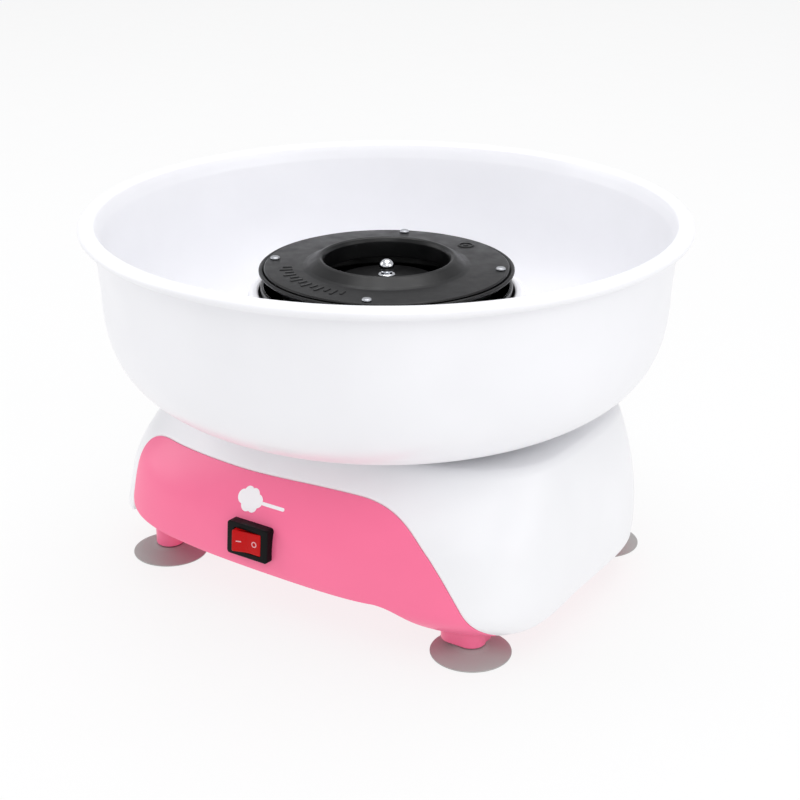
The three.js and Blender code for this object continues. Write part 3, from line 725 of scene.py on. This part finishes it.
def build_bowl():
    outside = bezier((80, BOWL_FLOOR), (117, 97), (136.5, 104), (136, 148), 40)
    inside = bezier((133, 148), (133.3, 107.5), (115, 100.2), (78, 87.8), 36)
    lip_half = 2.9
    lip_z = RIM_TOP - lip_half
    lip = []
    for k in range(0, 15):
        t = math.radians(-82 + 12.3 * k)
        centre, half = (140.8, RIM_R - 140.8) if t < math.pi / 2 else (140.8, 4.0)
        lip.append((centre + half * math.cos(t), lip_z + lip_half * math.sin(t), 0))
    foot = [(68.2, BOWL_FLOOR, 0.4), (71.6, BOWL_FLOOR, 0.2), (71.6, 86.2, 0.2), (77, 86.2, 0.2),
            (77, BOWL_FLOOR, 0.2)]
    wall = [(r, z, 0) for r, z in outside]
    under_lip = [(138.0, 171.6, 1.5), (138.9, 173.2, 0.5)]
    over_lip = [(137.3, 178.3, 1.8), (136.2, 175.2, 4.0), (135.0, 171, 8.0)]
    hollow = [(r, z, 0) for r, z in inside]
    collar = [(73, 88, 1.5), (71, 89, 1.2), (70.4, 91, 3.0), (67.5, 136.4, 1.5), (66.6, 138.9, 1.2),
              (64.9, 140, 1.2), (63, 140.2, 0.5), (62.2, 139.7, 0.3), (62.2, 138.6, 0.3), (63.4, 138, 0.6),
              (65, 136.4, 1), (65.4, 134, 1), (68.2, 94, 2.0)]
    profile = rounded(foot + wall + under_lip + lip + over_lip + hollow + collar)
    shell = lathe(profile, 224)
    lugs = [prism(sector(64.3, 69, angle, 30), BOWL_FLOOR, 87.9) for angle in (90, 210, 330)]
    return new_piece("bowl_moulding", union(shell, *lugs), "bowl", "white_shell", WHITE.material, "bowl")


def build_lock_ring():
    ring = turned_solid([(60.6, 79, 0.3), (67, 79, 0.3), (67, 81.1, 0.2), (63.2, 81.1, 0.2),
                         (63.2, 91.6, 0.4), (60.6, 91.6, 0.4)], 144)
    hooks = []
    for angle in (135, 255, 15):
        hooks.append(prism(sector(62.4, 67.4, angle, 30), 89, 91.4))
        hooks.append(prism(sector(62.4, 67.4, angle + 12.5, 5), 85, 91.2))
    tabs = [prism(rectangle(17, 10, 1.5), 76.3, 82.0).moved(53.5).turned(a) for a in (90, 210, 330)]
    holes = [lathe([(0, 70), (1.5, 70), (1.5, 90), (0, 90)], 24).moved(50).turned(a) for a in (90, 210, 330)]
    ring = cut(union(ring, *hooks, *tabs), *holes)
    return new_piece("bayonet_ring", ring, "base", "white_shell", HOUSING_WHITE.material, "bowl_lock_ring")


def build_gasket():
    ring = turned_solid([(72, 84.3, 0.5), (76.6, 84.3, 0.5), (76.2, 85.9, 0.4), (72.4, 85.9, 0.4)], 160)
    return new_piece("bowl_gasket_ring", ring, "gasket", "grey_rubber", GASKET.material, "bowl_gasket")


# ---------------------------------------------------------------- tray, legs and feet


def build_tray():
    phi = even_directions(220)
    outline = wall_point(phi, np.full(220, TRAY_Z), WALL + GAP + 0.6)[:, :2]
    front = level(TRAY_Z)[1] - WALL - GAP - 0.6
    ahead = outline[:, 1] < CENTRE_Y
    outline[ahead, 1] = CENTRE_Y + (outline[ahead, 1] - CENTRE_Y) * (front - TRAY_SETBACK) / front
    tray = prism([tuple(p) for p in outline], TRAY_Z, TRAY_Z + TRAY_T, 0.7)
    tray = union(tray, *[leg_solid(sx, sy) for sx, sy, _ in LEGS])
    tools = []
    for sx, sy, _ in LEGS:
        tools.append(lathe([(0, 8.7), (5.4, 8.7), (5.4, 40), (0, 40)], 40).moved(sx * FOOT_X, sy * FOOT_Y))
        tools.append(lathe([(0, 0), (3.9, 0), (3.9, 20), (0, 20)], 40).moved(sx * FOOT_X, sy * FOOT_Y))
        tools.append(lathe([(0, 0), (1.6, 0), (1.6, 40), (0, 40)], 24).moved(sx * 76, sy * 48))
    for side in (-1, 1):
        for k in range(6):
            tools.append(prism(rectangle(30, 3, 1.4, side * 38, (k - 2.5) * 7), 10, 40))
    tray = cut(tray, *tools)
    return new_piece("bottom_tray_moulding", tray, "base", "pink_plastic", PINK.material, "bottom_tray")


def build_feet():
    profile = [(0, 1.9, 0), (10.5, 1.5, 6), (16.4, 0.2, 2), (17, 0, 0.2), (18.8, 0, 0.25), (18.8, 0.6, 0.25),
               (14, 2.0, 9), (9, 3.5, 5), (7, 4.5, 0.5), (3.5, 4.5, 0.4), (3.5, 9.1, 0.2), (4.9, 9.4, 0.4),
               (3.6, 12.2, 0.8), (0, 13.2, 0)]
    for sx, sy, name in LEGS:
        cup = turned_solid(profile, 96).moved(sx * FOOT_X, sy * FOOT_Y)
        new_piece("suction_foot_" + name, cup, "base", "grey_rubber", RUBBER.material, "suction_cup_" + name)


def cross_screw(z, length, head_r, shank_r):
    """A pan-head screw that points up, with a cross recess in the head below it."""
    body = turned_solid([(0, z - 2.2, 0), (head_r * 0.8, z - 2, 1.2), (head_r, z - 1.3, 0.8),
                         (head_r, z - GAP, 0.1), (shank_r, z - GAP, 0), (shank_r, z + length, 0.4),
                         (0, z + length, 0)], 40)
    arm = head_r * 1.05
    bars = [prism(rectangle(w, h, 0.15), z - 3, z - 1.2, 0.05) for w, h in ((arm, 0.75), (0.75, arm))]
    return cut(body, *bars)


def build_screws():
    for sx, sy, name in LEGS:
        screw = cross_screw(TRAY_Z, 12, 3.2, 1.2).moved(sx * 76, sy * 48)
        new_piece("tray_screw_head_" + name, screw, "base", "steel", STEEL.material, "tray_screw_" + name)


# ---------------------------------------------------------------- spinning head
RIVETS = [polar(55.1, 24.5 + 90 * i) for i in range(4)]
PLATE_Z = 152.0


def build_head():
    dish = turned_solid([
        (3.35, 128, 0.3), (9, 128, 0.5), (9, 142.2, 1), (23.4, 142.2, 1), (24.2, 133, 1.2), (46, 133, 2),
        (50.5, 136.5, 2), (52.6, 147.3, 0.8), (58.6, 147.3, 1.5), (60.7, 149.2, 1.2), (61.65, 150, 0.3),
        (61.65, 150.7, 0.3),
        (61.05, 151.1, 0.3), (60.3, 151.1, 0.4), (57.6, 149, 1.5), (51.2, 149, 0.8), (48.8, 137.4, 1.5),
        (45.2, 134.7, 2.0), (27.5, 134.7, 1.2), (26, 136, 1), (25.5, 143.2, 0.6), (24.6, 143.9, 0.5),
        (3.35, 143.9, 0.3)], 168)
    drilled = [lathe([(0, 120), (1.5, 120), (1.5, 170), (0, 170)], 24).moved(x, y) for x, y in RIVETS]
    slot = prism(rectangle(24, 2.9, 0.3), 127.0, 131.8, 0.1)
    dish = cut(dish, slot, *drilled)
    new_piece("spinning_dish", dish, "head", "black_enamel", ENAMEL.material, "spinner_dish")
    plate = turned_solid([
        (39.9, 150.4, 1), (58.4, 150.4, 0.3), (59.2, 151, 0.3), (59.2, 151.4, 0.3), (58.5, 152, 0.35),
        (40.5, 152, 3), (38.4, 152.8, 2), (33.8, 155.8, 1.5), (32.4, 156.3, 0.8), (31.2, 155.8, 0.8),
        (30.4, 154.2, 1), (30.4, 146.2, 0.5), (31.8, 146.2, 0.5), (31.8, 153.6, 0.5), (33, 154.2, 0.5),
        (37.9, 151.2, 1)], 168)
    plate = union(cut(plate, *drilled), *plate_relief())
    new_piece("sugar_plate", plate, "head", "black_enamel", ENAMEL.material, "spinner_top_plate")
    rivet = turned_solid([
        (0, 146, 0), (1.8, 146, 0.3), (1.8, 147, 0.2), (1.2, 147, 0), (1.2, 149.3, 0), (2.3, 149.3, 0),
        (2.3, 150.1, 0), (1.2, 150.1, 0), (1.2, 152.3, 0), (2.4, 152.3, 0.15), (2.15, 153.1, 0.6),
        (0, 153.5, 0)], 32)
    for k, (x, y) in enumerate(RIVETS):
        new_piece("plate_rivet_%d" % (k + 1), rivet.moved(x, y), "head", "steel", STEEL.material,
                  "head_rivet_%d" % (k + 1))
    ball = []
    for k in range(15):
        u, v = polar(3.7, -50 + 9.3 * k)
        ball.append((u, 150.9 + v, 0))
    knob = turned_solid([
        (0, 138, 0), (2.6, 138, 0.3), (2.6, 146.6, 0.2), (4.3, 146.6, 0.2), (4.3, 147.3, 0.2),
        (3.7, 147.8, 0.3), *ball, (0, 154.6, 0)], 64)
    new_piece("head_lock_knob", knob, "head", "chrome", CHROME.material, "head_knob")


def plate_relief():
    """Low ribs moulded into the plate: two rows of short bars in front, and a small ring at the back."""
    ribs = []
    z0, z1 = PLATE_Z - 0.3, PLATE_Z + 0.35
    for k in range(13):
        angle = -141 + 5.0 * k
        ribs.append(prism(sector(45.6, 52.0 if k % 2 else 50.0, angle, 1.7, 0.25, 2), z0, z1, 0.2))
    x, y = polar(50.2, 72)
    outer = prism(circle(4.2, 40, x, y), z0, z1, 0.2)
    ring = cut(outer, prism(circle(3.2, 40, x, y), z0 - 1, z1 + 1, 0.05))
    ribs.append(ring)
    ribs.append(prism(circle(1.3, 24, x, y), z0, z1, 0.2))
    return ribs


# ---------------------------------------------------------------- heater
def build_heater():
    pan = turned_solid([
        (9, 104, 0.3), (59.4, 104, 0.5), (59.4, 96, 0.3), (61, 96, 0.3), (61, 143, 0.5), (59.4, 143, 0.5),
        (59.4, 105.5, 1.5), (9, 105.5, 0.3)], 144)

    def drill(r):
        return lathe([(0, 90), (r, 90), (r, 110), (0, 110)], 24)

    holes = [drill(1.9).moved(*polar(40, angle)) for angle in (90, 210, 330)]
    holes += [drill(4.3).moved(*polar(44, 270 + side * 8)) for side in (-1, 1)]
    new_piece("heater_pan_shell", cut(pan, *holes), "base", "black_enamel", PAN_ENAMEL.material, "heater_pan")
    ring_r, tube_r, z = 44.0, 3.1, 122.0
    verts, faces, turns, sides = [], [], 120, 20
    for i in range(turns + 1):
        angle = 278 + 344 * i / turns
        for k in range(sides):
            t = TAU * k / sides
            verts.append((*polar(ring_r + tube_r * math.cos(t), angle), z + tube_r * math.sin(t)))
    for i in range(turns):
        for k in range(sides):
            a, b = i * sides + k, i * sides + (k + 1) % sides
            faces.append((a, a + sides, b + sides, b))
    faces.append(tuple(range(sides)))
    faces.append(tuple(range(turns * sides, (turns + 1) * sides))[::-1])
    legs = []
    for side in (-1, 1):
        leg = turned_solid([(0, 94, 0), (1.8, 94, 0.3), (1.8, 108.6, 0), (tube_r, 108.6, 0.3),
                            (tube_r, z + 2, 1.2), (0, z + 2, 0)], 32)
        legs.append(leg.moved(*polar(ring_r, 270 + side * 8)))
    element = union(Geo(verts, faces), *legs)
    new_piece("heater_element_ring", element, "base", "steel", STEEL.material, "heater_element")


# ---------------------------------------------------------------- switch and gland
def build_switch():
    lean = math.radians(-5)
    place = Matrix.Translation((SWITCH_X, -100.0, SWITCH_Z)) @ Matrix.Rotation(lean, 4, "X")
    # outlines are drawn in X and Z; the prism is turned so that it is pushed back along Y
    def pushed(outline, y0, y1, edge):
        return prism([(u, v) for u, v in outline], -y1, -y0, edge).turned(90, "X")

    bezel = pushed(rectangle(23.6, 16.4, 1.6), 0, 3.8, 0.45)
    bezel = seated(bezel, place)
    body = pushed(rectangle(20.6, 14.6, 0.6), 1.0, 17, 0.2)
    pocket = pushed(rectangle(15.6, 11.4, 0.7), -2, 9, 0.1)
    case = cut(union(bezel, body), pocket)
    new_piece("switch_case", case.placed(place), "base", "black_plastic", BLACK.material, "switch_housing")
    tip = place @ Matrix.Translation((0, 2, 0)) @ Matrix.Rotation(math.radians(10), 4, "Z")
    outline = rounded([(-7.5, -3.55, 0.5), (-6.9, -3.65, 0.3), (0, -2.4, 9), (6.9, -3.65, 0.3),
                       (7.5, -3.55, 0.5), (7.5, 0, 0.5), (6, 4, 1), (-6, 4, 1), (-7.5, 0, 0.5)])
    paddle = prism(outline, -5.4, 5.4, 0.8)
    new_piece("rocker_paddle", paddle.placed(tip), "rocker", "red_plastic", RED.material, "switch_rocker")
    marks = rocker_marks()
    new_piece("rocker_marks", marks.placed(tip), "rocker", "red_plastic", MARK.material)


def seated(bezel, place):
    """The bezel with its back drawn onto the panel's leaning, rounded surface."""
    world = bezel.placed(place)
    surface = front_y(world.verts[:, 0], world.verts[:, 2])
    rear = bezel.verts[:, 1] > 2
    world.verts[rear, 1] = surface[rear] - 0.05
    return world.placed(place.inverted())


def rocker_marks():
    """The on bar and the off ring, printed on the rocker's two faces."""
    def face_y(u):
        return -2.4 - 1.25 * abs(u) / 6.9

    def printed(outer, hole=None):
        mark = prism(outer, 0, 0.35, 0.05)
        if hole:
            mark = cut(mark, prism(hole, -1, 1, 0.02))
        mark = mark.turned(90, "X")
        mark.verts[:, 1] += np.array([face_y(u) for u in mark.verts[:, 0]]) + 0.25
        return mark

    bar = printed(rectangle(2.6, 0.55, 0.2, -4.1, 0))
    ring = printed(circle(1.45, 40, 4.0, 0), circle(0.95, 40, 4.0, 0))
    return joined(bar, ring)


def build_gland():
    tube = turned_solid([(3.2, -3, 0.2), (5, -3, 0.3), (5, 3.4, 0), (6.4, 3.9, 0.4), (6.4, 4.9, 0.5),
                         (5, 6.5, 0.5), (3.2, 6.5, 0.5)], 64)
    low, high = span("cord_gland")
    at = (low + high) / 2
    tube = tube.turned(-90, "X").moved(at.x, low.y + 3, at.z)
    new_piece("cord_inlet_gland", tube, "base", "black_plastic", BLACK.material, "cord_gland")


def build_pictogram():
    """A plain white pictogram of spun floss on a stick, printed on the panel."""
    centre_x, centre_z = -10.0, 58.3
    us, vs = np.linspace(-16, 16, 170), np.linspace(-7, 7, 76)
    x, z = np.meshgrid(us + centre_x, vs + centre_z)
    grid = np.stack([x, front_y(x, z), z], -1)
    u, v = x - centre_x, z - centre_z
    puffs = [(-10.2, 0.6, 3.1), (-7.6, 2.6, 2.9), (-4.4, 2.3, 2.9), (-1.8, 0.3, 2.9), (-4.2, -2.2, 2.9),
             (-7.6, -2.4, 2.9), (-6, 0, 3.6)]
    cloud = np.min([np.hypot(u - px, v - pz) - r for px, pz, r in puffs], axis=0)
    stick = distance_to_outline(u, v, rectangle(13.0, 1.5, 0.7, 7.4, 0))
    shape = np.minimum(cloud, stick)
    lifted = grid + surface_frame(grid)[2] * 0.12
    mark = trimmed_shell(lifted, [-shape], 0.2, 0.06, wraps=False, steps=2)
    new_piece("panel_pictogram", mark, "base", "pink_plastic", PRINT.material)


# ---------------------------------------------------------------- camera, floor and light
def build_camera():
    camera = bpy.data.objects.new("camera", bpy.data.cameras.new("camera"))
    camera.data.lens, camera.data.sensor_width = 72.5, 36.0
    right, up = Vector((0.834, 0.5518, 0.0009)), Vector((-0.2108, 0.3172, 0.9246))
    right.normalize()
    back = right.cross(up).normalized()
    up = back.cross(right)
    turn = Matrix((right, up, back)).transposed()
    camera.matrix_world = Matrix.Translation((0.41493, -0.61593, 0.38712)) @ turn.to_4x4()
    camera.data.clip_start, camera.data.clip_end = 0.01, 50
    bpy.context.scene.collection.objects.link(camera)
    bpy.context.scene.camera = camera


def area_light(name, location, target, size, power, colour=(1, 1, 1)):
    lamp = bpy.data.lights.new(name, "AREA")
    lamp.shape, lamp.size, lamp.size_y, lamp.energy, lamp.color = "RECTANGLE", size[0], size[1], power, colour
    made = bpy.data.objects.new(name, lamp)
    made.location = location
    made.rotation_euler = (Vector(target) - Vector(location)).to_track_quat("-Z", "Y").to_euler()
    bpy.context.scene.collection.objects.link(made)


FLOOR_RADIUS, FLOOR_Z = 12.0, -0.0003  # metres
# strengths of the floor, the surroundings and the five soft lights
FLOOR_GREY, FLOOR_GLOW, WORLD = 0.14, 0.82, 0.57
KEY, TOP, LEFT, RIGHT, FRONT = 8.6, 17.2, 6.1, 4.3, 1.0


def build_stage():
    verts = [(x, y, FLOOR_Z) for x, y in circle(FLOOR_RADIUS, 64)]
    mesh = bpy.data.meshes.new("floor")
    mesh.from_pydata(verts, [], [tuple(range(64))])
    floor = bpy.data.objects.new("floor", mesh)
    bpy.context.scene.collection.objects.link(floor)
    surface = Surface("pale_floor")
    surface.colour(shade((1, 1, 1), FLOOR_GREY * 0.98), shade((1, 1, 1), FLOOR_GREY), 400)
    surface.roughness(0.8, 0.95, 30)
    surface.set(Specular_IOR_Level=0.05, Emission_Color=(1.0, 1.0, 1.0, 1.0), Emission_Strength=FLOOR_GLOW)
    tree = surface.tree
    output = tree.nodes["Material Output"]
    clear, mix = tree.nodes.new("ShaderNodeBsdfTransparent"), tree.nodes.new("ShaderNodeMixShader")
    side = tree.nodes.new("ShaderNodeNewGeometry")
    tree.links.new(side.outputs["Backfacing"], mix.inputs["Fac"])
    tree.links.new(surface.shader.outputs[0], mix.inputs[1])
    tree.links.new(clear.outputs[0], mix.inputs[2])
    tree.links.new(mix.outputs[0], output.inputs["Surface"])
    mesh.materials.append(surface.material)
    world = bpy.data.worlds.new("studio")
    bpy.context.scene.world = world
    world.use_nodes = True
    background = world.node_tree.nodes["Background"]
    background.inputs["Color"].default_value = (0.97, 0.975, 1.0, 1)
    background.inputs["Strength"].default_value = WORLD
    area_light("key", (0.9, -1.0, 1.5), (0, 0, 0.1), (1.2, 1.2), KEY)
    area_light("top", (-0.1, 0.3, 1.8), (0, 0, 0.1), (1.4, 1.4), TOP)
    area_light("left", (-1.5, -0.6, 0.8), (0, 0, 0.1), (0.9, 1.2), LEFT)
    area_light("right", (1.5, 0.1, 0.7), (0, 0, 0.1), (0.9, 1.0), RIGHT)
    area_light("front", (-0.2, -1.6, 0.6), (0, 0, 0.1), (1.2, 0.9), FRONT)
    view = bpy.context.scene.view_settings
    view.view_transform, view.look, view.exposure = "Standard", "None", 0.0


dress_cad_nodes()
build_housing()
build_panel()
build_seat()
build_bowl()
build_lock_ring()
build_gasket()
build_tray()
build_feet()
build_screws()
build_head()
build_heater()
build_switch()
build_gland()
build_pictogram()
build_camera()
build_stage()
